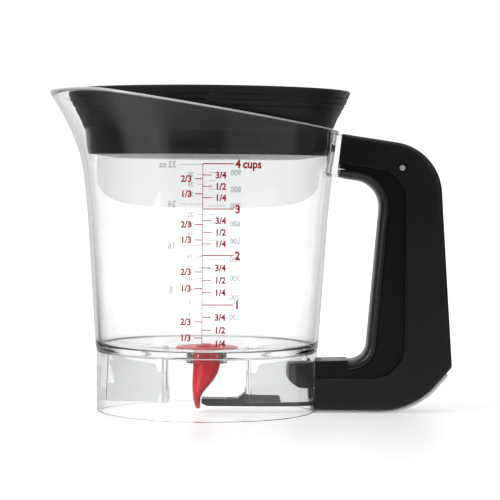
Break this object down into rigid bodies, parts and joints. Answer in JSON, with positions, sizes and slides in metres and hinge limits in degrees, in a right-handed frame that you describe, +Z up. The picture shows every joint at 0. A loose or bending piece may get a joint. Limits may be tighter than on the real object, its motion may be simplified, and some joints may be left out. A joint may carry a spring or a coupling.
{
  "type": "gravy fat separator",
  "caption": "Clear fat separator jug with a handle trigger that opens a silicone drain valve in its raised floor, and a lift-off strainer.",
  "frame": {"origin": "on the table, under the middle of the whole object's box", "axes": "+X from the spout to the handle, +Y to the back as the picture shows the object, +Z up"},
  "size_m": [0.2052, 0.144, 0.162],
  "materials": {
    "clear_plastic": "clear, polished",
    "shell_plastic": "black, satin",
    "trigger_plastic": "black, satin",
    "grip_rubber": "black, soft",
    "steel": "plain steel",
    "arm_plastic": "dark grey",
    "red_silicone": "red, soft",
    "strainer_plastic": "black, satin gloss"
  },
  "bodies": {
    "jug": {"jug_body": "clear_plastic", "handle_shell": "shell_plastic", "handle_screws": "steel", "pivot_pin": "steel", "return_spring": "steel", "valve_flange": "red_silicone", "valve_sleeve": "red_silicone"},
    "trigger": {"trigger_lever": "trigger_plastic", "trigger_grip": "grip_rubber", "link_pin": "steel"},
    "valve_slider": {"valve_arm": "arm_plastic"},
    "strainer": {"strainer_lid": "strainer_plastic"}
  },
  "joints": [
    {"name": "trigger_hinge", "type": "hinge", "parent": "jug", "child": "trigger", "pos_m": [0.07625, 0, 0.1239], "axis": [0, -1, 0], "range_deg": [0, 4.5], "stiffness_Nm_per_rad": 6, "springref_deg": -1.15, "deforming": ["return_spring"]},
    {"name": "arm_slide", "type": "slide", "parent": "jug", "child": "valve_slider", "axis": [1, 0, 0], "range_m": [0, 0.0092], "deforming": ["valve_sleeve"]},
    {"name": "strainer_lift", "type": "slide", "parent": "jug", "child": "strainer", "axis": [0, 0, 1], "range_m": [0, 0.06]}
  ],
  "couplings": [
    {"joint": "arm_slide", "follows": "trigger_hinge", "m_per_rad": 0.1149}
  ]
}
